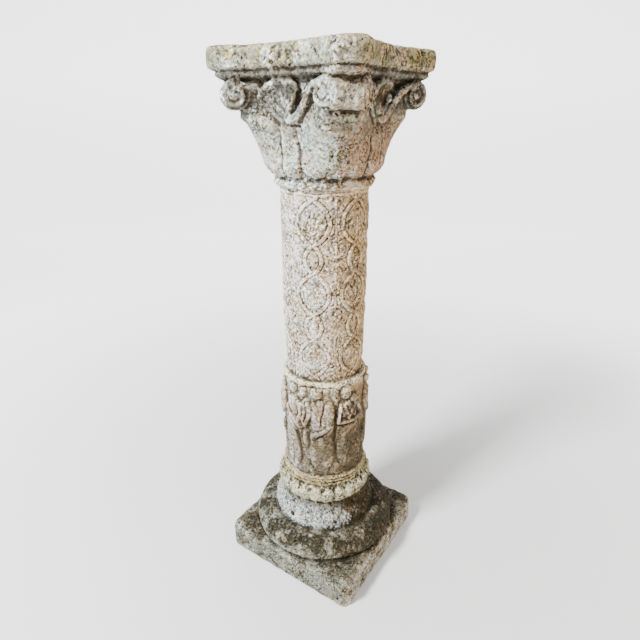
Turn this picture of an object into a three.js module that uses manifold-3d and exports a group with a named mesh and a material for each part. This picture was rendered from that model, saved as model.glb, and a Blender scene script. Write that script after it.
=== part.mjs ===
// A weathered cast-stone column pedestal: a moulded base on a square plinth, a shaft carved with
// vine medallions above a drum of standing figures, and a capital with leaves, corner volutes and
// a square abacus with hollow sides. Millimetres, +Z up, origin at the middle of the underside.
import * as THREE from "three";
import { mergeVertices } from "three/addons/utils/BufferGeometryUtils.js";
import Module from "manifold-3d";

const wasm = await Module();
wasm.setup();

const jointGap = 0.3; // open bed joint between two castings
const sink = 3; // how deep one moulding is let into the next inside the same casting
const finest = 0.6; // splinters thinner than this are merged away

// Base: square plinth, broad cushion, roll, hollow neck, ring of leaves and a thin fillet
const plinthSide = 322;
const plinthHeight = 68;
const plinthCorner = 27;
const plinthEdge = 13;
const cushionRadius = 159;
const cushionHeight = 46;
const cushionBelly = 12; // height of its widest line above the plinth
const cushionTuck = 8; // how far its foot is drawn in
const rollRadius = 112;
const rollHeight = 28;
const rollBulge = 3;
const hollowRadius = 97;
const hollowHeight = 32;
const hollowFlare = 3;
const leafRingRadius = 101;
const leafRingHeight = 45;
const leafRingBulge = 9;
const leafProud = 4;
const leafCount = 24;
const baseFilletRadius = 93;
const baseFilletHeight = 14;

// Shaft: foot fillet, drum of figures, girdle fillet, carved trunk and head fillet
const footFilletRadius = 92.5;
const footFilletHeight = 7;
const drumRadius = 85;
const drumHeight = 215;
const girdleRadius = 84;
const girdleHeight = 12;
const trunkFootRadius = 77.5;
const trunkHeadRadius = 81;
const trunkHeight = 363;
const headFilletRadius = 87;
const headFilletHeight = 10;

// Vine stems on the trunk swing round large loops and small ones in turn; their half widths
// are degrees round the trunk
const medallionColumns = 6;
const largeLoopHeight = 80;
const largeLoopHalfWidth = 22;
const smallLoopHeight = 52;
const smallLoopHalfWidth = 11.5;
const stemHalfWidth = 3.2;
const stemProud = 3;
const rosetteProud = 3.2;
const firstCrossing = 7; // of the stems, below the trunk's head
const trunkTurn = -71.8; // degrees, of the first column of medallions

// Figures standing round the drum
const figureCount = 9;
const figureHeight = 200;
const figureProud = 9; // at the chest; the robe's hem stands a third as proud
const figureHalfWidth = 14.5; // degrees round the drum
const figureHead = 26;
const figureTurn = -69;

// Capital: neck ring, leaves, corner volutes with their scrolls, and the abacus
const neckRingRadius = 93;
const neckRingHeight = 17;
const neckRingBulge = 6;
const bellHeight = 153;
const bellFootRadius = 91;
const faceLeafRadius = 105;
const cornerLeafRadius = 139; // at the tip of the leaf
const cornerLeafHeight = 96;
const cornerLeafHalfWidth = 17.5; // degrees either side of the diagonal
const stalkHalfWidth = 10.5; // degrees either side of the middle of a face
const leafGroove = 3;
const voluteRadius = 24;
const voluteReach = 177; // from the axis to the volute's rim, along the diagonal
const voluteRim = 44; // width of the rim
const voluteSplay = 30; // degrees that each face of the volute opens from the diagonal
const scrollWidth = 9;
const scrollProud = 4;
const scrollDepth = 26; // how far back the scroll reaches into the bell
const scrollSteps = 4;
const spiralTurns = 1.05;
const spiralSteps = 7;
const palmetteLobes = 5;
const palmetteHeight = 57;
const coverHeight = 15;
const coverInset = 13;
const abacusSide = 302;
const abacusHeight = 35;
const abacusHollow = 22; // depth of the hollow in each side
const abacusCorner = 33; // cut off each corner, along the side
const abacusEdge = 10;

// Heights of the mouldings above the floor
const rollFoot = plinthHeight + cushionHeight;
const hollowFoot = rollFoot + rollHeight;
const leafRingFoot = hollowFoot + hollowHeight;
const baseFilletFoot = leafRingFoot + leafRingHeight;
const shaftBed = baseFilletFoot + baseFilletHeight;
const drumFoot = shaftBed + footFilletHeight;
const girdleFoot = drumFoot + drumHeight;
const trunkFoot = girdleFoot + girdleHeight;
const trunkHead = trunkFoot + trunkHeight;
const capitalBed = trunkHead + headFilletHeight;
const bellFoot = capitalBed + neckRingHeight;
const coverFoot = bellFoot + bellHeight;
const abacusFoot = coverFoot + coverHeight;

const quarter = Math.PI / 2;
const radians = THREE.MathUtils.degToRad;
const lerp = THREE.MathUtils.lerp;
const smooth = THREE.MathUtils.smoothstep;
const clamp = THREE.MathUtils.clamp;

// A solid to join or cut, from a closed three.js geometry
function solid(geometry) {
  const bare = geometry.index ? geometry.toNonIndexed() : geometry.clone();
  bare.deleteAttribute("normal");
  bare.deleteAttribute("uv");
  const merged = mergeVertices(bare, 1e-3);
  return new wasm.Manifold(
    new wasm.Mesh({
      numProp: 3,
      vertProperties: merged.attributes.position.array,
      triVerts: new Uint32Array(merged.index.array),
    }),
  );
}

function joined(solids) {
  return solids.reduce((whole, next) => whole.add(next));
}

// One named mesh of cast stone, from a solid
function casting(name, whole, colour) {
  const { vertProperties, triVerts, numProp } = whole.simplify(finest).getMesh();
  const corners = new Float32Array(triVerts.length * 3);
  triVerts.forEach((v, k) => {
    for (let axis = 0; axis < 3; axis++) {
      corners[3 * k + axis] = vertProperties[numProp * v + axis];
    }
  });
  const geometry = new THREE.BufferGeometry();
  geometry.setAttribute("position", new THREE.BufferAttribute(corners, 3));
  geometry.computeVertexNormals();
  const stone = new THREE.MeshStandardMaterial({ color: colour, roughness: 0.95, metalness: 0 });
  const mesh = new THREE.Mesh(geometry, stone);
  mesh.name = name;
  return mesh;
}

// Profile points [radius, height] of a round moulding
function bulging(foot, height, radius, bulge, steps) {
  return Array.from({ length: steps + 1 }, (_, k) => {
    const turn = (Math.PI * k) / steps;
    const out = radius - bulge * (1 - Math.sin(turn));
    return [out, foot + (height * (1 - Math.cos(turn))) / 2];
  });
}

// A turned solid with its profile as [radius, height]. The carve function is given a column of
// the grid, a height and the radius there, and returns the point's angle and radius.
function turned(profile, columns, carve) {
  const points = [[0, profile[0][1]], ...profile, [0, profile.at(-1)[1]]];
  const outline = points.map(([radius, z]) => new THREE.Vector2(radius, z));
  const lathe = new THREE.LatheGeometry(outline, columns).rotateX(quarter);
  if (!carve) return lathe;
  const position = lathe.attributes.position;
  for (let column = 0; column <= columns; column++) {
    profile.forEach(([radius, z], k) => {
      const point = carve(column % columns, z, radius);
      position.setXYZ(
        column * points.length + k + 1,
        point.radius * Math.cos(point.angle),
        point.radius * Math.sin(point.angle),
        z,
      );
    });
  }
  return lathe;
}

// Outline of a square with hollowed sides and blunt corners; a swell of 1 makes them round
function squareOutline(half, corner, swell, hollow, sideSteps, cornerSteps) {
  const flat = half - corner;
  const points = [];
  for (let side = 0; side < 4; side++) {
    const spin = side * quarter;
    const place = (x, y) => points.push(new THREE.Vector2(x, y).rotateAround(new THREE.Vector2(), spin));
    for (let k = 0; k < sideSteps; k++) {
      const along = lerp(-flat, flat, k / sideSteps);
      place(half - hollow * (1 - (along / flat) ** 2), along);
    }
    for (let k = 0; k < cornerSteps; k++) {
      const share = k / cornerSteps;
      const bend = quarter * share;
      place(
        flat + corner * lerp(1 - share, Math.cos(bend), swell),
        flat + corner * lerp(share, Math.sin(bend), swell),
      );
    }
  }
  return points;
}

function slab(outline, foot, height, edge, edgeSteps) {
  const geometry = new THREE.ExtrudeGeometry(new THREE.Shape(outline), {
    depth: height - 2 * edge,
    bevelEnabled: edge > 0,
    bevelThickness: edge,
    bevelSize: edge,
    bevelOffset: -edge,
    bevelSegments: edgeSteps,
  });
  return geometry.translate(0, 0, foot + edge);
}

// A closed strap through a row of sections, each the same number of corners in the same order
function swept(sections) {
  const count = sections[0].length;
  const position = sections.flat().flatMap((corner) => corner.toArray());
  const index = [];
  for (let k = 0; k + 1 < sections.length; k++) {
    for (let j = 0; j < count; j++) {
      const a = k * count + j;
      const b = k * count + ((j + 1) % count);
      index.push(a, b, a + count, b, b + count, a + count);
    }
  }
  const last = (sections.length - 1) * count;
  for (let j = 1; j + 1 < count; j++) {
    index.push(0, j + 1, j);
    index.push(last, last + j, last + j + 1);
  }
  const geometry = new THREE.BufferGeometry();
  geometry.setAttribute("position", new THREE.Float32BufferAttribute(position, 3));
  geometry.setIndex(index);
  return geometry;
}

// The base, one casting
function makeBase() {
  const plinth = slab(
    squareOutline(plinthSide / 2, plinthCorner, 1, 0, 1, 4),
    0,
    plinthHeight,
    plinthEdge,
    2,
  );
  const rollFootRadius = rollRadius - rollBulge;
  const shoulder = [0, 0.25, 0.5, 0.75, 0.95].map((share) => {
    const turn = quarter * share;
    return [
      lerp(rollFootRadius, cushionRadius, Math.cos(turn)),
      plinthHeight + lerp(cushionBelly, cushionHeight, Math.sin(turn)),
    ];
  });
  const mouldings = turned(
    [
      [cushionRadius - cushionTuck - sink, plinthHeight - sink],
      [cushionRadius - cushionTuck, plinthHeight],
      [cushionRadius - cushionTuck / 4, plinthHeight + cushionBelly / 2],
      ...shoulder,
      ...bulging(rollFoot, rollHeight, rollRadius, rollBulge, 4),
      [lerp(rollFootRadius, hollowRadius, 0.75), hollowFoot + hollowHeight * 0.4],
      [hollowRadius, hollowFoot + hollowHeight * 0.85],
      [hollowRadius - hollowFlare, leafRingFoot + sink],
    ],
    32,
  );
  const leafTurn = 360 / leafCount;
  const leafRing = turned(
    bulging(leafRingFoot - 1, leafRingHeight + 1, leafRingRadius, leafRingBulge, 5),
    2 * leafCount,
    (column, z, radius) => {
      const up = clamp((z - leafRingFoot) / leafRingHeight, 0, 1);
      const proud = (column % 2 ? 1 : -0.2) * leafProud * Math.sin(Math.PI * up) ** 0.5;
      return { angle: radians((column / 2) * leafTurn), radius: radius + proud };
    },
  );
  const fillet = turned(
    [
      [baseFilletRadius - 1, baseFilletFoot - sink],
      [baseFilletRadius, baseFilletFoot + 2],
      [baseFilletRadius - 1, shaftBed - jointGap],
    ],
    32,
  );
  return joined([plinth, mouldings, leafRing, fillet].map(solid));
}

// Trunk: its grid follows the stems. The columns swing out and cross with them, and the rings
// lie at the crossings, the shoulders and the middle of each loop.
function makeTrunk() {
  const lines = 8;
  const sector = 360 / medallionColumns;
  const pitch = largeLoopHeight + smallLoopHeight;
  const marks = [
    ...[0, 0.15, 0.5, 0.85].map((share) => share * largeLoopHeight),
    ...[0, 0.3, 0.7].map((share) => largeLoopHeight + share * smallLoopHeight),
  ];
  const drops = [0, trunkHeight + sink];
  for (let loop = -pitch; loop < trunkHeight; loop += pitch) {
    drops.push(...marks.map((mark) => firstCrossing + loop + mark));
  }
  const rings = drops.filter((drop) => drop >= 0 && drop <= trunkHeight + sink);
  const profile = rings
    .sort((a, b) => b - a)
    .filter((drop, k, all) => k === 0 || all[k - 1] - drop > 2)
    .map((drop) => {
      const up = clamp(1 - drop / trunkHeight, 0, 1);
      return [lerp(trunkFootRadius, trunkHeadRadius, smooth(up, 0, 0.4)), trunkHead - drop];
    });
  return turned(profile, medallionColumns * lines, (column, z, radius) => {
    const run = (((trunkHead - firstCrossing - z) % pitch) + pitch) % pitch;
    const large = run < largeLoopHeight;
    const share = large ? run / largeLoopHeight : (run - largeLoopHeight) / smallLoopHeight;
    const open = Math.abs(Math.sin(Math.PI * share)) ** 0.6; // 0 where the stems cross
    const widest = large ? largeLoopHalfWidth : smallLoopHalfWidth;
    const spread = Math.max(stemHalfWidth, widest * open);
    const inner = Math.max(spread - stemHalfWidth, spread * 0.45);
    const [offset, proud] = [
      [-sector / 2, stemProud * 0.6 * (1 - open)],
      [-spread - stemHalfWidth, 0],
      [-spread, stemProud],
      [-inner, 0],
      [0, rosetteProud * smooth(open, 0.5, 1)],
      [inner, 0],
      [spread, stemProud],
      [spread + stemHalfWidth, 0],
    ][column % lines];
    const degrees = trunkTurn + Math.floor(column / lines) * sector + offset;
    return { angle: radians(degrees), radius: radius + proud };
  });
}

// Half width of a robed figure as a share of its widest, from the feet at 0 to the crown at 1
function figureOutline(up) {
  const chin = 1 - figureHead / figureHeight;
  if (up >= chin) return 0.46 * Math.sin(Math.PI * lerp(0.15, 0.88, (up - chin) / (1 - chin)));
  if (up > chin - 0.03) return 0.25;
  if (up > 0.6) return lerp(0.7, 1, smooth(up, 0.6, 0.78));
  return lerp(0.92, 0.7, smooth(up, 0.1, 0.6));
}

// Drum: the columns of its grid follow the outlines of the figures
function makeDrum() {
  const lines = 8;
  const sector = 360 / figureCount;
  const chin = 1 - figureHead / figureHeight;
  const brow = [0.32, 0.72].map((share) => lerp(chin, 1, share));
  const levels = [0, 0.2, 0.46, 0.7, chin - 0.04, chin, ...brow, 1];
  const figureFoot = drumFoot + (drumHeight - figureHeight) / 2;
  const profile = [
    [drumRadius, drumFoot - sink],
    ...levels.map((up) => [drumRadius, figureFoot + figureHeight * up]),
    [drumRadius, girdleFoot + sink],
  ];
  return turned(profile, figureCount * lines, (column, z, radius) => {
    const figure = Math.floor(column / lines);
    const up = clamp((z - figureFoot) / figureHeight, -0.01, 1.01);
    const chest = lerp(0.35, 1, smooth(up, 0.08, 0.55));
    const proud = up >= -0.001 && up < 0.999 ? figureProud * chest : 0;
    const width = Math.max(2, figureHalfWidth * figureOutline(clamp(up, 0, 1)));
    const sway = 2.2 * Math.sin(2.3 * figure) * Math.sin(Math.PI * clamp(up, 0, 1));
    const arms = 0.3 * proud * smooth(up, 0.5, 0.66) * (1 - smooth(up, 0.7, 0.84));
    const fold = up < 0.5 ? 0.3 * proud : 0;
    const [offset, out] = [
      [-sector / 2, 0],
      [-width - 1.4, 0],
      [-width, 0.6 * proud],
      [-width * 0.5, proud - fold + arms],
      [0, proud + arms],
      [width * 0.5, proud - fold + arms],
      [width, 0.6 * proud],
      [width + 1.4, 0],
    ][column % lines];
    return { angle: radians(figureTurn + figure * sector + offset + sway), radius: radius + out };
  });
}

// The shaft, one casting
function makeShaft() {
  const fillet = (foot, head, radius) =>
    turned([[radius - 1, foot], [radius, (foot + head) / 2], [radius - 1, head]], 32);
  return joined(
    [
      fillet(shaftBed, drumFoot, footFilletRadius),
      makeDrum(),
      fillet(girdleFoot, trunkFoot, girdleRadius),
      makeTrunk(),
      fillet(trunkHead - sink, capitalBed, headFilletRadius),
    ].map(solid),
  );
}

// Bell: four corner leaves that lean out, four upright face leaves, each with its stalk
function makeBell() {
  const leafTop = cornerLeafHeight / bellHeight;
  const shares = [0, 0.05, 0.12, 0.2, 0.38, 0.52, leafTop, leafTop + 0.03, 1];
  const tip = cornerLeafRadius - faceLeafRadius;
  const profile = [
    [bellFootRadius, bellFoot - sink],
    ...shares.map((up) => {
      const swelling = Math.sin(quarter * clamp(up / 0.22, 0, 1));
      return [lerp(bellFootRadius, faceLeafRadius, swelling), bellFoot + bellHeight * up];
    }),
  ];
  const groove = 45 - cornerLeafHalfWidth;
  const face = [
    [-groove, -1],
    [-(stalkHalfWidth + groove) / 2, 0.3],
    [-stalkHalfWidth, -0.8],
    [0, 0.8],
    [stalkHalfWidth, -0.8],
    [(stalkHalfWidth + groove) / 2, 0.3],
    [groove, -1],
  ];
  const lines = [[-45, 1], [-(groove + 45) / 2, 0.6], ...face, [(groove + 45) / 2, 0.6]];
  return turned(profile, 4 * lines.length, (column, z, radius) => {
    const [offset, depth] = lines[column % lines.length];
    const up = (z - bellFoot) / bellHeight;
    const cut = leafGroove * depth * smooth(up, 0, 0.08) * (1 - smooth(up, 0.6, 0.9));
    const nearCorner = smooth(Math.abs(offset), stalkHalfWidth, 45);
    const leaf = up <= leafTop + 0.001 ? (clamp(up, 0, 1) / leafTop) ** 1.8 : 0.88;
    const angle = Math.floor(column / lines.length) * 90 + offset;
    return { angle: radians(angle), radius: radius + cut + tip * leaf * nearCorner };
  });
}

const eyeDistance = voluteReach - voluteRadius; // of the volute's eye from the axis
const eyeHeight = coverFoot - voluteRadius + 1;
const splay = radians(voluteSplay);

// Half width of a volute, whose diagonal runs along X
function voluteHalfWidth(x) {
  return voluteRim / 2 + (voluteReach - x) * Math.tan(splay);
}

// The scroll and spiral of one face of a volute: from the middle of the capital's face up to
// the top of the volute, then winding in to its eye
function makeScroll(side) {
  const outwards = new THREE.Vector3(Math.sin(splay), side * Math.cos(splay), 0);
  const tipwards = new THREE.Vector3(Math.cos(splay), -side * Math.sin(splay), 0);
  const up = new THREE.Vector3(0, 0, 1);
  const eye = new THREE.Vector3(eyeDistance, side * voluteHalfWidth(eyeDistance), eyeHeight);
  const start = new THREE.Vector3(
    (faceLeafRadius + 1) * Math.cos(quarter / 2),
    side * (faceLeafRadius + 1) * Math.sin(quarter / 2),
    coverFoot - palmetteHeight,
  );
  const end = eye.clone().addScaledVector(up, voluteRadius - scrollWidth / 2);
  const path = new THREE.CubicBezierCurve3(
    start,
    start.clone().addScaledVector(tipwards, 22).addScaledVector(up, 22),
    end.clone().addScaledVector(tipwards, -30).addScaledVector(up, -6),
    end,
  );
  const faceNormal = new THREE.Vector3(1, side, 0).normalize();
  const scroll = path.getSpacedPoints(scrollSteps).map((point, k) => {
    const normal = faceNormal.clone().lerp(outwards, k / scrollSteps).normalize();
    const corner = (out, rise) => point.clone().addScaledVector(normal, out).addScaledVector(up, rise);
    return [
      corner(scrollProud, -scrollWidth / 2),
      corner(scrollProud, scrollWidth / 2),
      corner(-scrollDepth, scrollWidth / 2),
      corner(-scrollDepth, -scrollWidth / 2),
    ];
  });
  const spiral = Array.from({ length: spiralSteps + 1 }, (_, k) => {
    const share = k / spiralSteps;
    const turn = quarter + 0.15 - share * spiralTurns * 2 * Math.PI;
    const reach = lerp(voluteRadius - 0.4, scrollWidth * 0.8, share);
    const inner = reach - scrollWidth * lerp(0.75, 0.45, share);
    const corner = (radius, out) =>
      eye
        .clone()
        .addScaledVector(tipwards, (radius * Math.cos(turn)) / Math.cos(splay))
        .addScaledVector(up, radius * Math.sin(turn))
        .addScaledVector(outwards, out);
    const proud = scrollProud * 0.8;
    return [corner(inner, proud), corner(reach, proud), corner(reach, -proud), corner(inner, -proud)];
  });
  return [scroll, spiral].map((sections) => outFacing(swept(sections)));
}

// A solid from a strap, turned right way out
function outFacing(geometry) {
  const position = geometry.attributes.position;
  const index = geometry.index.array;
  const [a, b, c] = [0, 1, 2].map(() => new THREE.Vector3());
  let volume = 0;
  for (let k = 0; k < index.length; k += 3) {
    a.fromBufferAttribute(position, index[k]);
    b.fromBufferAttribute(position, index[k + 1]);
    c.fromBufferAttribute(position, index[k + 2]);
    volume += a.dot(b.cross(c));
  }
  if (volume < 0) index.reverse();
  return solid(geometry);
}

// A corner volute: a roll lying across the diagonal, cut to its two splayed faces
function makeVolute(corner) {
  const back = voluteReach - 2 * voluteRadius;
  const plan = new THREE.Shape([
    new THREE.Vector2(voluteReach + 1, -voluteHalfWidth(voluteReach + 1)),
    new THREE.Vector2(voluteReach + 1, voluteHalfWidth(voluteReach + 1)),
    new THREE.Vector2(back - 1, voluteHalfWidth(back - 1)),
    new THREE.Vector2(back - 1, -voluteHalfWidth(back - 1)),
  ]);
  const block = new THREE.ExtrudeGeometry(plan, { depth: 3 * voluteRadius, bevelEnabled: false });
  block.translate(0, 0, eyeHeight - 1.5 * voluteRadius);
  const roll = new THREE.CylinderGeometry(voluteRadius, voluteRadius, 6 * voluteRim, 16);
  roll.translate(eyeDistance, 0, eyeHeight);
  const body = solid(roll).intersect(solid(block));
  const bridge = new THREE.BoxGeometry(50, voluteRim * 1.4, voluteRadius * 1.2);
  bridge.translate(eyeDistance - 25, 0, coverFoot - voluteRadius * 0.6 + 1);
  const pieces = [body, solid(bridge), ...makeScroll(1), ...makeScroll(-1)];
  return joined(pieces).rotate([0, 0, 45 + 90 * corner]);
}

// The fan of lobes that fills the angle between two scrolls, under the abacus
function makePalmette(side) {
  const fan = radians(130);
  const outline = [new THREE.Vector2(-6, 0), new THREE.Vector2(6, 0)];
  for (let k = 0; k <= 3 * palmetteLobes; k++) {
    const turn = quarter - fan / 2 + (fan * k) / (3 * palmetteLobes);
    const lobe = Math.abs(Math.sin((Math.PI * k) / 3));
    const reach = palmetteHeight * (0.86 + 0.14 * lobe) * lerp(0.62, 1, Math.sin(turn) ** 2);
    outline.push(new THREE.Vector2(reach * Math.cos(turn) * 0.8, reach * Math.sin(turn)));
  }
  const petals = new THREE.ExtrudeGeometry(new THREE.Shape(outline), { depth: 24, bevelEnabled: false });
  petals.rotateX(quarter).rotateZ(quarter);
  petals.rotateY(radians(8));
  petals.translate(faceLeafRadius - 23, 0, coverFoot - palmetteHeight + 1);
  return solid(petals).rotate([0, 0, 90 * side]);
}

// The capital, one casting
function makeCapital() {
  const neckFoot = capitalBed + jointGap;
  const neck = turned(
    bulging(neckFoot, neckRingHeight - jointGap, neckRingRadius, neckRingBulge, 4),
    32,
  );
  const half = abacusSide / 2;
  const cover = slab(
    squareOutline(half - coverInset, abacusCorner, 0.5, abacusHollow, 5, 2),
    coverFoot - 1,
    coverHeight + 2,
    0,
    1,
  );
  const abacus = slab(
    squareOutline(half, abacusCorner, 0.5, abacusHollow, 5, 3),
    abacusFoot,
    abacusHeight,
    abacusEdge,
    2,
  );
  const pieces = [neck, makeBell(), cover, abacus].map(solid);
  for (let corner = 0; corner < 4; corner++) {
    pieces.push(makeVolute(corner), makePalmette(corner));
  }
  return joined(pieces);
}

const pedestal = new THREE.Group();
pedestal.name = "column_pedestal";
pedestal.add(casting("base", makeBase(), 0x8d887c));
pedestal.add(casting("shaft", makeShaft(), 0xb9aa97));
pedestal.add(casting("capital", makeCapital(), 0xbdb8ac));

export default pedestal;
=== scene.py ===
"""Looks of a weathered cast-stone column pedestal, dressed over its CAD frame."""

import math

import bpy
import mathutils
import numpy as np
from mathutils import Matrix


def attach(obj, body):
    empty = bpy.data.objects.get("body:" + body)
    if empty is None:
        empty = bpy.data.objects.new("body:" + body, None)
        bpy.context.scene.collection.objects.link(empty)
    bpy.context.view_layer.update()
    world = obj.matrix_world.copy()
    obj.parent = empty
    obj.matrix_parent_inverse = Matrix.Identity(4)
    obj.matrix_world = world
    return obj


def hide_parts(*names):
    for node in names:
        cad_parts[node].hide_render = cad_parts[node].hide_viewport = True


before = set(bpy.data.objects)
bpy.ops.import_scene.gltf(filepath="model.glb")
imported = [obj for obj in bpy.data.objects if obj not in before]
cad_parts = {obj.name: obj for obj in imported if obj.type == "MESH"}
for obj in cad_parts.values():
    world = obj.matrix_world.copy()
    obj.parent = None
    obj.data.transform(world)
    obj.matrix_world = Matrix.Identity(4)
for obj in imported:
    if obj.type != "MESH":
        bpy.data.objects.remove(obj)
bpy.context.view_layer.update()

# The view: a phone held a little below the column's top and tipped down, about 0.94 m from
# the column's axis, with one corner of the plinth and of the abacus nearly towards it.
lens_turn = math.radians(33.4)
lens_pan = math.radians(-0.56)
lens_tilt = math.radians(23.08)
lens_roll = math.radians(0.20)
lens_distance = 0.936
lens_height = 0.967
focal_px = 495
frame_px = 640

camera_data = bpy.data.cameras.new("view")
camera_data.sensor_width = 36
camera_data.lens = 36 * focal_px / frame_px
camera = bpy.data.objects.new("view", camera_data)
bpy.context.scene.collection.objects.link(camera)
bpy.context.scene.camera = camera
sideways = mathutils.Vector((math.cos(lens_pan), -math.sin(lens_pan), 0))
level = mathutils.Vector((math.sin(lens_pan), math.cos(lens_pan), 0))
upright = mathutils.Vector((0, 0, 1))
aim = math.cos(lens_tilt) * level - math.sin(lens_tilt) * upright
crown = math.sin(lens_tilt) * level + math.cos(lens_tilt) * upright
right_hand = math.cos(lens_roll) * sideways - math.sin(lens_roll) * crown
crown = math.sin(lens_roll) * sideways + math.cos(lens_roll) * crown
pose = mathutils.Matrix((right_hand, crown, -aim)).transposed().to_4x4()
pose.translation = (0, -lens_distance, lens_height)
camera.matrix_world = mathutils.Matrix.Rotation(lens_turn, 4, "Z") @ pose
camera_data.clip_start = 0.01

# The studio: a seamless pale sweep that rises behind the column, a broad cool light from the
# upper left and a weak warm one from the right.
sweep_ahead, sweep_floor, sweep_bend, sweep_wall, sweep_width = 5.0, 3.2, 1.2, 1.6, 14
bpy.ops.object.select_all(action="DESELECT")
bpy.ops.mesh.primitive_grid_add(x_subdivisions=2, y_subdivisions=90, size=1)
sweep = bpy.context.object
sweep.name = "studio_sweep"
sweep_length = sweep_ahead + sweep_floor + sweep_bend * math.pi / 2 + sweep_wall
for point in sweep.data.vertices:
    run = (point.co.y + 0.5) * sweep_length - sweep_ahead
    bend = min(max((run - sweep_floor) / sweep_bend, 0), math.pi / 2)
    climb = max(run - sweep_floor - sweep_bend * math.pi / 2, 0)
    back = min(run, sweep_floor) + sweep_bend * math.sin(bend)
    point.co = (point.co.x * sweep_width, back, sweep_bend * (1 - math.cos(bend)) + climb)
sweep.rotation_euler = (0, 0, lens_turn)
bpy.ops.object.transform_apply(rotation=True)
bpy.ops.object.shade_smooth()
sweep_paint = bpy.data.materials.new("studio_sweep_paint")
sweep_paint.use_nodes = True
sweep_nodes = sweep_paint.node_tree.nodes
sweep_shader = sweep_nodes["Principled BSDF"]
sweep_shader.inputs["Base Color"].default_value = (0.86, 0.86, 0.85, 1)
sweep_shader.inputs["Roughness"].default_value = 0.9
sweep_shader.inputs["Emission Strength"].default_value = 2.1
sweep_place = sweep_nodes.new("ShaderNodeTexCoord")
sweep_reach = sweep_nodes.new("ShaderNodeVectorMath")
sweep_reach.operation = "LENGTH"
sweep_glow = sweep_nodes.new("ShaderNodeMapRange")
sweep_glow.interpolation_type = "SMOOTHSTEP"
# the sweep glows less near the column, a painted soft shadow round its foot that also lets its
# real shadow show
for name, value in {"From Min": 0.2, "From Max": 2.2, "To Min": 0.12, "To Max": 1.0}.items():
    sweep_glow.inputs[name].default_value = value
sweep_links = sweep_paint.node_tree.links
sweep_links.new(sweep_place.outputs["Object"], sweep_reach.inputs[0])
sweep_links.new(sweep_reach.outputs["Value"], sweep_glow.inputs["Value"])
sweep_links.new(sweep_glow.outputs["Result"], sweep_shader.inputs["Emission Color"])
sweep.data.materials.append(sweep_paint)

column_middle = 0.6
world = bpy.data.worlds.new("studio_air")
bpy.context.scene.world = world
world.use_nodes = True
air = world.node_tree.nodes["Background"]
air.inputs["Color"].default_value = (0.93, 0.96, 1.0, 1)
air.inputs["Strength"].default_value = 0.34


def hang_light(name, turn, rise, distance, size, power, tint):
    """A square soft box aimed at the column, distance in metres, turn and rise in degrees round
    from the camera and up from the floor"""
    lamp = bpy.data.lights.new(name, "AREA")
    lamp.size = size
    lamp.energy = power
    lamp.color = tint
    holder = bpy.data.objects.new(name, lamp)
    bpy.context.scene.collection.objects.link(holder)
    heading = lens_turn - math.pi / 2 + math.radians(turn)
    place = mathutils.Vector((math.cos(heading), math.sin(heading), math.tan(math.radians(rise))))
    holder.location = place * distance + mathutils.Vector((0, 0, column_middle))
    holder.rotation_euler = (-place).to_track_quat("-Z", "Y").to_euler()


hang_light("key_light", -52, 45, 1.9, size=0.5, power=212, tint=(0.98, 0.99, 1.0))
hang_light("fill_light", 64, 14, 2.6, size=1.4, power=19, tint=(1.0, 0.84, 0.63))


# The base: one casting, a square plinth under a broad cushion, a roll, a hollow neck, a ring
# of upright leaves and a thin fillet. The arrises are worn round, the top of the plinth and the
# cushion are dark with lichen, the hollows are dark with dirt and painted shade, and a small
# hole is drilled in the roll and painted dark inside as its shade.
MM = 0.001
plinth_side = 322
plinth_height = 68
plinth_corner = 27
plinth_edge = 17
cushion_radius = 159
cushion_height = 46
cushion_belly = 12
cushion_tuck = 8
roll_radius = 112
roll_height = 28
hollow_radius = 97
hollow_height = 32
leaf_ring_radius = 101
leaf_ring_height = 45
leaf_ring_bulge = 9
leaf_count = 24
wear_spare = 1.6
base_fillet_radius = 93
base_fillet_height = 14
bed_gap = 0.3
hole_radius = 4.8
hole_depth = 12
hole_turn = -40
hole_height = 133
base_voxel = 2.22


def points_of(piece):
    """The piece's points as rows of x, y, z in millimetres"""
    row = np.empty(len(piece.data.vertices) * 3, np.float32)
    piece.data.vertices.foreach_get("co", row)
    return row.reshape(-1, 3).astype(float) / MM


def move_points(piece, places):
    """Put the piece's points at these places in millimetres"""
    piece.data.vertices.foreach_set("co", (places * MM).astype(np.float32).ravel())
    piece.data.update()


def start_shape(add, name, **settings):
    """One primitive, named, with nothing else selected"""
    bpy.ops.object.select_all(action="DESELECT")
    add(**settings)
    piece = bpy.context.object
    piece.name = name
    return piece


def edit(piece, *steps):
    """Run edit-mode steps on the whole of a piece; each is an operator and its settings"""
    bpy.ops.object.select_all(action="DESELECT")
    bpy.context.view_layer.objects.active = piece
    piece.select_set(True)
    bpy.ops.object.mode_set(mode="EDIT")
    bpy.ops.mesh.select_all(action="SELECT")
    for operator, settings in steps:
        operator(**settings)
    bpy.ops.object.mode_set(mode="OBJECT")


def roll_sheet(name, columns, rows, foot, head, radius):
    """A flat sheet rolled round the axis and closed top and bottom. Radius is a function of
    the angle and the height of each point."""
    drum = start_shape(
        bpy.ops.mesh.primitive_grid_add, name, x_subdivisions=columns, y_subdivisions=rows, size=1
    )
    sheet = points_of(drum) * MM + 0.5
    angle = sheet[:, 0] * 2 * math.pi
    z = foot + sheet[:, 1] * (head - foot)
    reach = radius(angle, z)
    move_points(drum, np.stack([reach * np.cos(angle), reach * np.sin(angle), z], 1))
    edit(
        drum,
        (bpy.ops.mesh.remove_doubles, {"threshold": 1e-6}),
        (bpy.ops.mesh.fill_holes, {"sides": 0}),
    )
    return drum


def round_moulding(foot, height, radius, bulge, steps=16):
    """Heights and radii up a round moulding"""
    turn = np.linspace(0, math.pi, steps + 1)
    return foot + height * (1 - np.cos(turn)) / 2, radius - bulge * (1 - np.sin(turn))


def fade(value, low, high):
    """0 below low, 1 above high, and a soft step between"""
    share = np.clip((value - low) / (high - low), 0, 1)
    return share * share * (3 - 2 * share)


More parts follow.
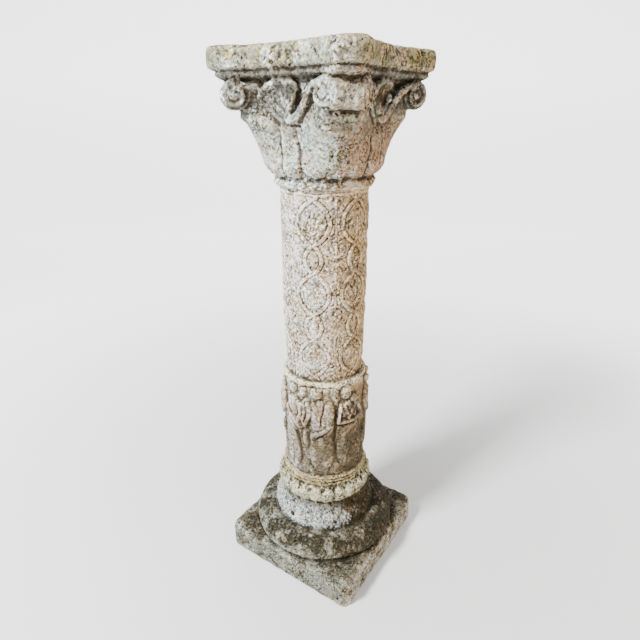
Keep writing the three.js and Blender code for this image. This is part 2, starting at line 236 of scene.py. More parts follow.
def pick(*pieces):
    """Select these pieces and nothing else, the first of them active"""
    bpy.ops.object.select_all(action="DESELECT")
    for piece in pieces:
        piece.select_set(True)
    bpy.context.view_layer.objects.active = pieces[0]


def join(name, pieces):
    """One piece of several"""
    pick(*pieces)
    bpy.ops.object.join()
    pieces[0].name = name
    return pieces[0]


def settle(piece):
    """Put the piece's place and turn into its mesh"""
    pick(piece)
    bpy.ops.object.transform_apply(location=True, rotation=True, scale=True)
    return piece


def fuse(piece, voxel):
    """Melt overlapping forms into one closed skin of even squares"""
    pick(piece)
    bpy.ops.object.modifier_add(type="REMESH")
    piece.modifiers[-1].mode = "VOXEL"
    piece.modifiers[-1].voxel_size = voxel * MM
    bpy.ops.object.modifier_apply(modifier=piece.modifiers[-1].name)


def grain(places, size, octaves=3):
    """Even noise between about -1 and 1 at each place, its lumps of the given size in mm"""
    scaled = places / size
    return np.array([mathutils.noise.fractal(p, 0.8, 2.1, octaves) for p in scaled.tolist()])


def outward(piece):
    """Which way the skin faces at each point"""
    row = np.empty(len(piece.data.vertices) * 3, np.float32)
    piece.data.vertices.foreach_get("normal", row)
    return row.reshape(-1, 3).astype(float)


def shelter(piece, rounds):
    """How far each point lies in a hollow (+) or on a crest (-), in mm"""
    places = points_of(piece)
    pairs = np.empty(len(piece.data.edges) * 2, np.int32)
    piece.data.edges.foreach_get("vertices", pairs)
    a, b = pairs.reshape(-1, 2).T
    count = len(places)
    ends = np.concatenate([a, b])
    others = np.concatenate([b, a])
    links = np.maximum(np.bincount(ends, minlength=count), 1)[:, None]
    soft = places.copy()
    for _ in range(rounds):
        sums = [np.bincount(ends, soft[others, axis], count) for axis in range(3)]
        soft = np.stack(sums, 1) / links
    return ((soft - places) * outward(piece)).sum(1)


def weather(piece, dents, pores, wear):
    """Wear the crests, dent and pit the skin, and keep how sheltered each point is for the dirt
    and painted shade in the hollows and the painted highlight on the crests. Dents, pores and
    wear are depths in mm."""
    places = points_of(piece)
    normal = outward(piece)
    crest = np.clip(-shelter(piece, 10), 0, 2)
    patchy = fade(grain(places, 26), -0.25, 0.5)
    bite = -wear * crest * (0.25 + 0.75 * patchy)
    bite += dents * grain(places + 31, 21) + 0.5 * dents * grain(places + 7, 6)
    hole = fade(grain(places + 71, 4.5, 2), 0.32, 0.62) * fade(grain(places + 113, 30), -0.3, 0.3)
    bite -= pores * hole
    move_points(piece, places + normal * bite[:, None])
    deep = shelter(piece, 8)
    mark = piece.data.attributes.new("shelter", "FLOAT", "POINT")
    mark.data.foreach_set("value", np.clip(deep / 2.2 + 0.5, 0, 1).astype(np.float32))
    pit = piece.data.attributes.new("pit", "FLOAT", "POINT")
    pit.data.foreach_set("value", hole.astype(np.float32))


roll_foot = plinth_height + cushion_height
hollow_foot = roll_foot + roll_height
leaf_foot = hollow_foot + hollow_height
base_fillet_foot = leaf_foot + leaf_ring_height
shaft_bed = base_fillet_foot + base_fillet_height

plinth = start_shape(bpy.ops.mesh.primitive_cube_add, "plinth", size=1)
block = points_of(plinth) * MM + np.array([0, 0, 0.5])
wide = plinth_side + wear_spare
move_points(plinth, block * np.array([wide, wide, plinth_height]))
edit(plinth, (bpy.ops.mesh.bevel, {"offset": plinth_edge * MM, "segments": 5}))
# each upright corner is drawn in to a round of the plinth's corner radius
corners = points_of(plinth)
straight = wide / 2 - plinth_corner
beyond = np.maximum(np.abs(corners[:, :2]) - straight, 0)
length = np.linalg.norm(beyond, axis=1)
both = np.minimum(beyond[:, 0], beyond[:, 1]) > 0
shrink = np.where(both, np.minimum(1, plinth_corner / np.maximum(length, 1e-6)), 1)
corners[:, :2] = np.sign(corners[:, :2]) * (
    np.minimum(np.abs(corners[:, :2]), straight) + beyond * shrink[:, None]
)
# the lower arris is sharper than the upper one, and the foot lies flat on the floor
low = corners[:, 2] < plinth_edge
corners[low, 2] *= corners[low, 2] / plinth_edge
move_points(plinth, corners)

arc = np.linspace(0, math.pi / 2, 14)
cushion_line = (
    [plinth_height - 2, plinth_height, plinth_height + cushion_belly / 2]
    + list(plinth_height + cushion_belly + (cushion_height - cushion_belly) * np.sin(arc)),
    [cushion_radius - cushion_tuck - 2, cushion_radius - cushion_tuck, cushion_radius - 2]
    + list(roll_radius + 4 + (cushion_radius - roll_radius - 4) * np.cos(arc)),
)
roll_line = (
    roll_foot + roll_height * np.array([0.02, 0.12, 0.3, 0.5, 0.72, 1]),
    roll_radius + np.array([3.5, 1.5, 0.4, 0, -0.8, -4.5]),
)
hollow_line = (
    hollow_foot + hollow_height * np.array([0.15, 0.35, 0.55, 0.75, 0.9, 1.1]),
    hollow_radius + np.array([7.4, 3.0, 0.4, -1.6, -3, -5]),
)
moulding_z = np.concatenate([cushion_line[0], roll_line[0], hollow_line[0]])
moulding_r = np.concatenate([cushion_line[1], roll_line[1], hollow_line[1]])
mouldings = roll_sheet(
    "base_mouldings", 300, 150, plinth_height - 2, leaf_foot + 4,
    lambda angle, z: np.interp(z, moulding_z, moulding_r),
)

leaf_line = round_moulding(leaf_foot, leaf_ring_height, leaf_ring_radius, leaf_ring_bulge)


def leafed_ring(angle, z):
    """Upright leaves with round tips, side by side, each parted into three blunt fingers"""
    turn = (angle * leaf_count / (2 * math.pi)) % 1 - 0.5
    across = np.abs(turn) * 2
    up = np.clip((z - leaf_foot) / leaf_ring_height, 0, 1)
    arch = np.sqrt(np.clip(1 - across**2, 0, 1))
    inside = fade(0.5 + 0.42 * arch - up, 0, 0.12)
    fingers = np.abs(np.cos(turn * 3 * math.pi)) ** 0.6
    droop = fade(up - 0.06 * (1 - arch), 0.0, 0.16 + 0.1 * (1 - fingers))
    body = 8.2 * inside * droop * (0.45 + 0.55 * arch) * (0.75 + 0.25 * fingers)
    rim = 1.8 * np.exp(-(((up - 0.46 - 0.4 * arch) / 0.07) ** 2))
    return np.interp(z, *leaf_line) - 3.6 + body + rim


leaves = roll_sheet(
    "leaf_ring", leaf_count * 26, 56, leaf_foot - 1, base_fillet_foot, leafed_ring
)

# two thin rings with a groove between them
fillet_rise = np.array([-3, 0, 1.5, 4, 5.2, 8, 9.2, 12, 14])
fillet_reach = np.array([-5, -3, 0.6, 0.6, -5.4, -5.4, 0.6, 0.6, -4.4])
fillet_line = (base_fillet_foot + fillet_rise, base_fillet_radius + fillet_reach)
fillet = roll_sheet(
    "base_fillet", 180, 20, base_fillet_foot - 3, shaft_bed - bed_gap,
    lambda angle, z: np.interp(z, *fillet_line),
)
base = join("base_stone", [plinth, mouldings, leaves, fillet])
fuse(base, base_voxel)

bearing = lens_turn - math.pi / 2 + math.radians(hole_turn)
ray = np.array([math.cos(bearing), math.sin(bearing), 0])
drill = start_shape(
    bpy.ops.mesh.primitive_cylinder_add, "drill", vertices=24, radius=hole_radius * MM,
    depth=2 * hole_depth * MM, rotation=(0, math.pi / 2, bearing),
    location=(roll_radius * MM * ray[0], roll_radius * MM * ray[1], hole_height * MM),
)
pick(base)
drilled = base.modifiers.new("drilled", "BOOLEAN")
drilled.object = drill
drilled.operation = "DIFFERENCE"
bpy.ops.object.modifier_apply(modifier=drilled.name)
bpy.data.objects.remove(drill, do_unlink=True)


class Wire:
    """A number, colour or vector on its way through a material's nodes"""

    def __init__(self, tree, socket):
        self.tree = tree
        self.socket = socket

    def node(self, kind, settings, inputs, output=0):
        made = self.tree.nodes.new(kind)
        for name, value in settings.items():
            if name == "stops":
                ramp = made.color_ramp
                while len(ramp.elements) < len(value):
                    ramp.elements.new(0.5)
                for stop, (position, colour) in zip(ramp.elements, value):
                    stop.position = position
                    stop.color = (*colour, 1)
            else:
                setattr(made, name, value)
        for name, value in inputs.items():
            if isinstance(value, Wire):
                self.tree.links.new(value.socket, made.inputs[name])
            else:
                made.inputs[name].default_value = value
        return Wire(self.tree, made.outputs[output])

    def maths(self, operation, *values):
        return self.node("ShaderNodeMath", {"operation": operation}, dict(enumerate(values)))

    def __add__(self, other):
        return self.maths("ADD", self, other)

    __radd__ = __add__

    def __sub__(self, other):
        return self.maths("SUBTRACT", self, other)

    def __rsub__(self, other):
        return self.maths("SUBTRACT", other, self)

    def __mul__(self, other):
        return self.maths("MULTIPLY", self, other)

    __rmul__ = __mul__

    def step(self, low, high, out_low=0.0, out_high=1.0):
        """Soft step of this value from low to high"""
        limits = {"From Min": low, "From Max": high, "To Min": out_low, "To Max": out_high}
        settings = {"interpolation_type": "SMOOTHSTEP"}
        return self.node("ShaderNodeMapRange", settings, {"Value": self, **limits})

    def tint(self, under, over):
        """This value as the share of the colour over that lies on the colour under"""
        colours = [c if isinstance(c, Wire) else (*c, 1) for c in (under, over)]
        settings = {"data_type": "RGBA", "clamp_factor": True}
        return self.node("ShaderNodeMix", settings, {0: self, 6: colours[0], 7: colours[1]}, 2)

    def scaled(self, factor):
        """This colour made darker or brighter by a factor"""
        settings = {"operation": "SCALE"}
        return self.node("ShaderNodeVectorMath", settings, {0: self, "Scale": factor})

    def noise(self, size, detail=4, roughness=0.55, warp=0.0):
        """Even noise at this place, its lumps of the given size in mm"""
        return self.node(
            "ShaderNodeTexNoise",
            {},
            {
                "Vector": self,
                "Scale": 1 / (size * MM),
                "Detail": detail,
                "Roughness": roughness,
                "Distortion": warp,
            },
        )

    def cells(self, size, randomness=1.0):
        """Distance from the middle of the nearest of a crowd of cells of the given size in mm"""
        inputs = {"Vector": self, "Scale": 1 / (size * MM), "Randomness": randomness}
        return self.node("ShaderNodeTexVoronoi", {"feature": "F1"}, inputs)


def paint(red, green, blue):
    """A colour as seen, 0 to 255, in the light's own scale"""
    return tuple(
        c / 255 / 12.92 if c < 10 else ((c / 255 + 0.055) / 1.055) ** 2.4
        for c in (red, green, blue)
    )


def shade_side(facing):
    """How far the skin faces the side in shade, away from the key light: 1 straight away, -1
    straight into it
    """
    return facing[0] * 0.83 + facing[1] * 0.55


def cast_stone(name, cool, warm, deep, pale, lichen, dirt_and_shade):
    """Old cast stone: cool and pale on the side towards the key light and warm and darker on the
    other, partly a warm stain and partly painted shade; crumbled into pale and dark flecks, dark
    in its pores and hollows with dirt and painted shade, its crests lightened as painted
    highlights. Lichen is a list of patches, each a function that gives its share and a colour;
    dirt_and_shade is how strongly the dirt and the painted shade lie in the hollows."""
    stone = bpy.data.materials.new(name)
    stone.use_nodes = True
    tree = stone.node_tree
    shader = tree.nodes["Principled BSDF"]
    start = Wire(tree, None)
    place = start.node("ShaderNodeTexCoord", {}, {}, 3)
    axes = [start.node("ShaderNodeSeparateXYZ", {}, {"Vector": place}, k) for k in range(3)]
    normal = start.node("ShaderNodeNewGeometry", {}, {}, 1)
    facing = [start.node("ShaderNodeSeparateXYZ", {}, {"Vector": normal}, k) for k in range(3)]
    shelter_mark = start.node("ShaderNodeAttribute", {"attribute_name": "shelter"}, {}, 2)
    pit_mark = start.node("ShaderNodeAttribute", {"attribute_name": "pit"}, {}, 2)

    # the side turned away from the key light is warm and darker, partly a warm stain and partly
    # painted shade
    shade_share = shade_side(facing) + (place.noise(60, 3) - 0.5) * 1.3
    body = shade_share.step(-0.6, 0.7).tint(cool, warm)
    dull = tuple(0.6 * w + 0.4 * d for w, d in zip(warm, deep))
    # broad dull patches and smaller pale ones
    broad = place.noise(27, 6, 0.66)
    body = (broad.step(0.5, 0.6) * 0.55).tint(body, dull)
    bloom = place.noise(14, 5, 0.68)
    body = (bloom.step(0.54, 0.63) * 0.4).tint(body, pale)
    for mask, colour in lichen:
        body = mask(place, axes, facing).tint(body, colour)
    # crumbs of the worn face, fainter where it is still smooth
    crumb = place.noise(4.6, 4, 0.72)
    crumbled = place.noise(30, 4, 0.6).step(0.44, 0.56, 0.4, 1.0)
    body = body.scaled(crumb.step(0.41, 0.59, -0.68, 0.42) * crumbled + 1.0)
    body = (crumb.step(0.455, 0.385) * crumbled * 0.85).tint(body, deep)
    # fine dark cracks that wander over the face
    wander = place.noise(11, 4, 0.72) - 0.5
    vein = wander.maths("ABSOLUTE", wander)
    crack = vein.step(0.026, 0.005) * place.noise(37, 3).step(0.4, 0.56)
    body = (crack * 0.88).tint(body, deep)
    # dirt and painted shade in the hollows, clean crests lit up as painted highlights, specks, and
    # pores painted dark as dirt and shade
    patchy = broad.step(0.34, 0.56)
    hollow = shelter_mark + (place.noise(5, 3) - 0.5) * 0.4
    body = (hollow.step(0.54, 0.84) * dirt_and_shade * (0.45 + patchy * 0.55)).tint(body, deep)
    # the crests are worn clean and also lightened as a painted highlight
    crest = shelter_mark + (place.noise(6, 3) - 0.5) * 0.3
    body = (crest.step(0.44, 0.16) * 0.05).tint(body, pale)
    body = body.scaled(crest.step(0.44, 0.16, 1.0, 1.45))
    speck = place.cells(6.5).step(0.24, 0.12) * place.noise(31, 3).step(0.42, 0.6)
    body = (speck * 0.9).tint(body, tuple(c * 0.3 for c in deep))
    # the pores are painted dark as dirt and shade, the drilled hole as the shade inside it
    body = (pit_mark.step(0.15, 0.8) * 0.85).tint(body, tuple(c * 0.4 for c in deep))
    tree.links.new(body.socket, shader.inputs["Base Color"])
    rough = place.noise(6, 3).step(0.3, 0.7, 0.84, 0.98)
    tree.links.new(rough.socket, shader.inputs["Roughness"])
    shader.inputs["Specular IOR Level"].default_value = 0.2
    relief = crumb * 1.3 + place.noise(1.8, 4, 0.7) * 0.55 - speck * 0.9 - crack * 0.5
    bump = start.node(
        "ShaderNodeBump", {}, {"Height": relief, "Strength": 1.0, "Distance": 3.4 * MM}
    )
    tree.links.new(bump.socket, shader.inputs["Normal"])
    return stone


def coat(piece, stone):
    """Shade the piece as one soft skin of this stone"""
    pick(piece)
    bpy.ops.object.shade_smooth()
    piece.data.materials.clear()
    piece.data.materials.append(stone)


def dark_growth(place, axes, facing):
    """Black and olive lichen on the cushion, the plinth's top and its upper arrises"""
    low = axes[2].step(0.124, 0.108) * axes[2].step(0.05, 0.066)
    up = facing[2].step(-0.1, 0.5)
    cushion = axes[2].step(0.066, 0.072, 0.62, 1.0)
    spread = place.noise(30, 6, 0.68).step(0.45, 0.51)
    return low * up * cushion * spread * 0.95


def brown_shade(place, axes, facing):
    """Dark brown on the side away from the key light: painted shade, with damp brown earth"""
    shade_share = shade_side(facing) + (place.noise(40, 4) - 0.5) * 0.9
    return shade_share.step(0.05, 0.6) * axes[2].step(0.064, 0.08) * axes[2].step(0.19, 0.16) * 0.88


def dry_side(place, axes, facing):
    """The plinth's side away from the key light is a dry grey"""
    side = axes[2].step(0.068, 0.056) * shade_side(facing).step(0.1, 0.5)
    return side * place.noise(22, 4).step(0.35, 0.55) * 0.8


def leaf_shadow_and_earth(place, axes, facing):
    """Painted shadow of the leaves over the hollow under them, dark brown in patches, with earth
    caught there
    """
    ring = axes[2].step(0.14, 0.158) * axes[2].step(0.184, 0.176)
    return ring * place.noise(16, 4, 0.6).step(0.36, 0.52) * 0.85


def tan_fillets(place, axes, facing):
    """The thin rings above the leaves are tan"""
    return axes[2].step(0.2165, 0.219) * 0.85


def ochre_crust(place, axes, facing):
    """Small ochre spots of crust, a few together"""
    return place.noise(13, 5, 0.6).step(0.6, 0.66) * place.noise(45, 2).step(0.5, 0.62) * 0.6


def cream_ring(place, axes, facing):
    """The ring of leaves and the fillets have kept a cream skin"""
    return axes[2].step(0.176, 0.2) * place.noise(8, 4, 0.6).step(0.66, 0.42) * 0.85


def washed_lit_roll(place, axes, facing):
    """The side of the roll and of the hollow facing the key light is nearly white: washed stone,
    lightened as painted light
    """
    ragged_foot = axes[2] + (place.noise(24, 4) - 0.5) * 0.03
    ring = ragged_foot.step(0.105, 0.116) * axes[2].step(0.172, 0.15)
    side = facing[0] * -0.2 + facing[1] * -0.98
    return ring * (side + (place.noise(26, 4) - 0.5) * 1.6).step(0.2, 0.7) * 0.85


base_coat = cast_stone(
    "base_stone_coat",
    cool=paint(153, 155, 139),
    warm=paint(124, 102, 66),
    deep=paint(42, 36, 22),
    pale=paint(216, 216, 198),
    lichen=[
        (brown_shade, paint(60, 46, 22)),
        (dry_side, paint(224, 212, 192)),
        (leaf_shadow_and_earth, paint(84, 66, 38)),
        (washed_lit_roll, paint(214, 220, 214)),
        (cream_ring, paint(232, 222, 182)),
        (tan_fillets, paint(176, 156, 108)),
        (dark_growth, paint(56, 51, 35)),
        (ochre_crust, paint(190, 160, 105)),
    ],
    dirt_and_shade=0.9,
)

fresh = points_of(base)
along_ray = fresh @ ray
hole_middle = along_ray[:, None] * ray + np.array([0, 0, hole_height])
bore = (np.linalg.norm(fresh - hole_middle, axis=1) < hole_radius + 0.2) & (along_ray > 0)
weather(base, dents=1.5, pores=1.3, wear=1.2)
# the drilled hole keeps its edge and is painted dark inside as its shade, and the underside lies
# flat on the floor
pit = np.empty(len(fresh), np.float32)
base.data.attributes["pit"].data.foreach_get("value", pit)
pit[bore] = 1
base.data.attributes["pit"].data.foreach_set("value", pit)
worn = points_of(base)
worn[bore] = fresh[bore]
worn[:, 2] = np.maximum(worn[:, 2], 0)
move_points(base, worn)
coat(base, base_coat)
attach(base, "root")
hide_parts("base")


# The shaft: one casting with a thin foot fillet, a drum of standing figures in robes, a cream
# girdle whose lower edge has crumbled, and a trunk carved with vine stems that swing round
# leaves, large loops and small ones in turn, over a ground of worn foliage.
foot_fillet_radius = 92.5
foot_fillet_height = 7
drum_radius = 84
drum_height = 215
girdle_radius = 84
girdle_height = 12
trunk_foot_radius = 77.5
trunk_head_radius = 81
trunk_height = 363
head_fillet_radius = 83.5
head_fillet_height = 10
medallion_columns = 6
medallion_pitch = 132
large_loop = (31, 40)
small_loop = (16, 26)
first_loop_drop = 47
stem_half = 3.6
stem_proud = 2.6
leaf_proud = 2.4
figure_lift = 1.15
shaft_columns = 328
shaft_rows = 300

drum_foot = shaft_bed + foot_fillet_height
girdle_foot = drum_foot + drum_height
trunk_foot = girdle_foot + girdle_height
trunk_head = trunk_foot + trunk_height
capital_bed = trunk_head + head_fillet_height
first_loop = trunk_head - first_loop_drop
chain_turn = math.radians(-71.8)
view_turn = lens_turn - math.pi / 2


def dome(x, y, width, height, tilt=0.0):
    """1 in the middle of an oval and 0 at its rim, round as a cushion"""
    c, s = math.cos(math.radians(tilt)), math.sin(math.radians(tilt))
    u = (x * c + y * s) / width
    v = (y * c - x * s) / height
    return np.sqrt(np.clip(1 - u * u - v * v, 0, 1))


def limb(x, y, path, half):
    """1 along the middle of a bent limb and 0 at its sides"""
    near = np.full(np.shape(x), 1e9)
    for (ax, ay), (bx, by) in zip(path, path[1:]):
        dx, dy = bx - ax, by - ay
        along = np.clip(((x - ax) * dx + (y - ay) * dy) / (dx * dx + dy * dy), 0, 1)
        near = np.minimum(near, np.hypot(x - ax - along * dx, y - ay - along * dy))
    return np.sqrt(np.clip(1 - (near / half) ** 2, 0, 1))


def pointed_leaf(x, y, length, half, turn):
    """A leaf from its foot at 0, 0 towards turn degrees, with a midrib and a raised rim"""
    c, s = math.cos(math.radians(turn)), math.sin(math.radians(turn))
    along = (x * c + y * s) / length
    across = np.abs(y * c - x * s) / half
    edge = np.sin(math.pi * np.clip(along, 0, 1) ** 0.8)
    body = np.clip(1 - across / np.maximum(edge, 1e-3), 0, 1) ** 0.45 * (along > 0) * (along < 1)
    return body * (0.55 + 0.45 * np.exp(-((across / 0.22) ** 2)))


def fan(x, y, size, count, spread):
    """Leaves side by side in a fan that opens upwards from 0, 0"""
    height = np.zeros(np.shape(x))
    for k in range(count):
        turn = 90 + spread * ((k + 0.5) / count - 0.5)
        length = size * (1 - 0.28 * abs(2 * (k + 0.5) / count - 1))
        height = np.maximum(height, pointed_leaf(x, y, length, size * 0.17, turn))
    return height


def tendril(x, y, size, hand):
    """A stem that coils in to a bud"""
    reach = np.hypot(x, y)
    turn = (np.arctan2(y, x * hand) / (2 * math.pi)) % 1
    inner = size * (0.35 + 0.6 * turn)
    outer = size * (0.95 - 0.6 * (1 - turn) + 0.6)
    coil = np.minimum(np.abs(reach - inner), np.abs(reach - outer))
    return np.maximum(np.clip(1 - (coil / 1.7) ** 2, 0, 1) * (reach < size), dome(x, y, 3, 3))


def vines(angle, z):
    """Height of the trunk's carving in mm: two stems to a chain that cross over and under, with
    a cut beside each, and the leaves between them"""
    sector = 2 * math.pi / medallion_columns
    chain = np.floor((angle - chain_turn) / sector + 0.5)
    across = (angle - chain_turn - chain * sector) * trunk_head_radius
    row = np.round((z - first_loop) / medallion_pitch)
    up = z - first_loop - row * medallion_pitch
    wide, tall = large_loop
    narrow, short = small_loop
    inside = np.abs(up) < tall
    big = wide * np.clip(np.cos(math.pi / 2 * up / tall), 0, 1) ** 0.72
    rest = np.abs(np.abs(up) - medallion_pitch / 2)
    small = narrow * np.clip(np.cos(math.pi / 2 * rest / short), 0, 1) ** 0.72
    swing = np.where(inside, big, small)
    lean = np.where(inside, 1.05, 0.9) * (1 - (swing / np.where(inside, wide, narrow)) ** 2)
    straight = np.cos(np.arctan(lean * 1.25))
    height = np.zeros(np.shape(z))
    cut = np.zeros(np.shape(z))
    for side in (-1, 1):
        off = np.abs(across - side * swing) * straight
        cut = np.maximum(cut, np.exp(-(((off - stem_half - 1.2) / 0.9) ** 2)))
        ridge = np.clip(1 - (off / stem_half) ** 4, 0, 1) * stem_proud
        ridge -= 1.5 * np.exp(-((off / 1.0) ** 2))
        crossing = np.exp(-(((np.abs(up) - tall) / 5) ** 2))
        under = crossing * (np.sign(up) == side)
        height = np.maximum(height, ridge * (1 - 0.6 * under))
    odd = (chain + row) % 2
    mid = np.where(up > 0, up - medallion_pitch / 2, up + medallion_pitch / 2)
    gap = sector * trunk_head_radius / 2
    aside = gap - np.abs(across)
    carvings = [
        # a fan of leaves in each large loop, upright in one chain and hanging in the next
        np.where(odd == 0, fan(across, up + 22, 44, 7, 168), fan(across, 20 - up, 42, 5, 150)),
        fan(across, np.where(odd == 0, -up - 16, up + 14), 17, 5, 190) * 0.8,
        # a rosette or a bud in each small loop
        np.where(odd == 0, dome(across, mid, 4, 4), dome(across, mid, 5.5, 10)),
        fan(across, mid + 2, 13, 5, 200) * 0.9,
        fan(across, -mid - 4, 12, 3, 120) * 0.8,
        # between the chains, leaves above and below the small loops and coils beside the large
        fan(aside, mid - 4, 30, 5, 130),
        fan(aside, -mid - 4, 30, 5, 130),
        tendril(aside - 9, up - 17, 9, 1),
        tendril(aside - 9, up + 17, 9, -1),
        limb(aside, up, [(0, -46), (0, 46)], 1.6) * 0.6,
        pointed_leaf(aside - 3, np.abs(up) - 2, 15, 5, 68),
    ]
    for form in carvings:
        height = np.maximum(height, form * leaf_proud)
    height -= 1.3 * cut
    # worn lower in some places than in others
    height *= 0.86 + 0.24 * np.sin(angle * 3 + z / 37) * np.sin(z / 29 + angle * 5 + 1)
    return height * fade(z, trunk_foot, trunk_foot + 5) * fade(z, trunk_head + 1, trunk_head - 3)


# Each figure stands at its own turn from the view, some of them mirrored. Forms are ovals and
# bent limbs, their places in mm across and up from the feet, then size and how proud they
# stand; a form with a minus is cut in.
figures = [
    (-44, "sash", 1), (-26, "slim", 1), (-4, "folded", 1), (37, "harp", 1), (76, "slim", -1),
    (97, "sash", -1), (128, "folded", -1), (163, "harp", -1), (198, "slim", 1), (218, "sash", 1),
    (246, "folded", 1), (286, "slim", -1),
]
forms = {
    "folded": [
        ("oval", 0, 60, 30, 62, 3, 8.4), ("oval", 2, 135, 27, 46, 5, 9.4),
        ("oval", 15, 152, 13, 28, -8, 10.8), ("oval", -12, 148, 13, 30, 10, 10.0),
        ("head", -11, 197, 13, 14.5, 10, 10.0),
        ("limb", [(16, 168), (21, 146), (15, 128)], 8.5, 11.0),
        ("limb", [(19, 122), (4, 110), (-17, 98)], 7.4, 11.6),
        ("limb", [(6, 174), (4, 156), (-1, 140), (0, 124)], 1.8, -3.6),
        ("limb", [(19, 113), (4, 101), (-8, 92)], 2.0, -3.4),
        ("oval", 2, 80, 11, 16, 12, 10.2), ("oval", -12, 50, 14, 44, 4, 8.8),
        ("oval", 13, 46, 14, 42, -6, 9.0),
        ("limb", [(-24, 182), (-14, 186), (-2, 183)], 2.0, -3.4),
        ("limb", [(30, 152), (31, 116), (28, 84)], 3.8, -4.2),
    ],
    "harp": [
        ("oval", 2, 66, 34, 68, 0, 9.2), ("oval", 14, 60, 20, 54, 4, 9.8),
        ("oval", 2, 150, 24, 34, 0, 5.6), ("head", -11, 195, 13, 15.5, -6, 10.6),
        ("oval", 8, 176, 12, 10, -20, 8.4),
        ("limb", [(-24, 168), (-30, 129), (6, 126), (30, 134), (18, 160)], 3.8, 11.6),
        ("limb", [(-20, 166), (-6, 174)], 3.0, 9.6), ("limb", [(-15, 164), (-4, 138)], 2.6, 9.0),
        ("limb", [(14, 174), (6, 156), (-6, 134)], 3.0, 10.0),
        ("limb", [(21, 158), (10, 136)], 2.6, 9.4),
        ("oval", -22, 144, 4.2, 11, 8, -3.4), ("oval", -7, 156, 3.4, 7, -24, -2.4),
        ("oval", 14, 146, 3.6, 9, -26, -3.0),
        ("limb", [(-28, 119), (4, 117), (27, 124)], 2.6, -5.0),
        ("oval", -14, 58, 12, 48, 4, 9.6),
    ],
    "sash": [
        ("oval", -5, 84, 22, 62, 5, 9.6), ("oval", 9, 40, 11, 42, -12, 8.6),
        ("oval", -14, 30, 11, 34, 0, 7.4), ("oval", -3, 157, 17, 26, 0, 9.8),
        ("head", -2, 199, 9, 11.5, 0, 9.8),
        ("limb", [(-18, 150), (-4, 132), (17, 112)], 6.0, 11.4),
        ("limb", [(12, 168), (19, 146), (10, 124)], 5.2, 10.2),
        ("limb", [(-17, 139), (-4, 120), (14, 101)], 2.2, -4.6),
        ("limb", [(9, 98), (19, 56), (27, 22)], 3.2, -5.0),
        ("limb", [(-3, 60), (-4, 14)], 2.2, -3.0),
    ],
    "slim": [
        ("oval", 1, 58, 13, 60, 0, 4.4), ("oval", 0, 149, 13, 36, -3, 9.2),
        ("head", -4, 196, 8.5, 11, 0, 10.2), ("limb", [(9, 170), (12, 148), (2, 128)], 5.0, 10.2),
        ("limb", [(-9, 168), (-11, 142), (0, 118)], 4.6, 9.8), ("oval", 1, 84, 8, 22, 6, 8.8),
        ("limb", [(-1, 176), (3, 150), (-2, 128)], 1.8, -3.6),
    ],
}


def carved(height, x, y, form):
    """Lay one form over a height field, or cut it in, with a soft seam"""
    kind, *sizes, proud = form
    if kind == "head":
        return head(height, x - sizes[0], y - sizes[1], *sizes[2:], proud)
    shape = dome(x - sizes[0], y - sizes[1], *sizes[2:]) if kind == "oval" else limb(x, y, *sizes)
    if proud < 0:
        return height + proud * shape
    laid = proud * shape**0.8
    seam = np.maximum(1.6 - np.abs(laid - height), 0) ** 2 / 6.4
    return np.where(shape > 0, np.maximum(height, laid) + seam, height)


def head(height, x, y, width, tall, tilt, proud):
    """A small worn head under a cap of hair: brow, nose and chin are hardly more than lumps"""
    lumps = [
        (0, 0, width, tall, tilt, proud),
        (0, tall * 0.5, width * 0.95, tall * 0.5, tilt, proud + 0.8),
        (-width * 0.36, tall * 0.02, width * 0.24, tall * 0.16, 0, -1.5),
        (width * 0.36, tall * 0.02, width * 0.24, tall * 0.16, 0, -1.5),
        (0, -tall * 0.14, width * 0.18, tall * 0.26, 0, proud + 1.0),
    ]
    for lump in lumps:
        height = carved(height, x, y, ("oval", *lump))
    return height


def frieze(angle, z):
    """Height of the drum's carving in mm: the figures on an uneven ground"""
    wave = np.sin(angle * 17 + np.sin(z / 13) * 1.2) + np.sin(angle * 29 + 2 + z / 31)
    height = 2.2 + 0.5 * wave
    for turn, name, hand in figures:
        away = (angle - view_turn - math.radians(turn) + math.pi) % (2 * math.pi) - math.pi
        across = away * (drum_radius + 8) * hand
        near = (np.abs(across) < 40) & (z > drum_foot - 2) & (z < girdle_foot + 2)
        for form in forms[name]:
            height[near] = carved(height[near], across[near], z[near] - drum_foot - 8, form)
    # the ground rises round the feet, and the forms sink back towards it
    risen = 4.8 * fade(z, drum_foot + 44, drum_foot + 8) * (0.9 + 0.1 * np.sin(angle * 23 + z / 5))
    height = np.maximum(height, risen)
    height *= 0.82 + 0.18 * fade(z, drum_foot + 20, drum_foot + 110)
    ends = fade(z, girdle_foot + 4, girdle_foot - 3) * fade(z, drum_foot, drum_foot + 4)
    return figure_lift * height * ends


shaft_line = [
    (shaft_bed, foot_fillet_radius - 4),
    (shaft_bed + 2.2, foot_fillet_radius),
    (drum_foot - 1.5, foot_fillet_radius),
    (drum_foot, foot_fillet_radius - 2),
    (drum_foot + 3, drum_radius),
    (girdle_foot, drum_radius),
    (trunk_foot + 2, trunk_foot_radius),
    (trunk_foot + 145, trunk_head_radius),
    (trunk_head, trunk_head_radius),
    (trunk_head + 1.5, head_fillet_radius - 1.5),
    (trunk_head + 3.5, head_fillet_radius),
    (trunk_head + 5.5, head_fillet_radius - 2.5),
    (capital_bed - 2, head_fillet_radius - 0.5),
    (capital_bed, head_fillet_radius - 2),
]


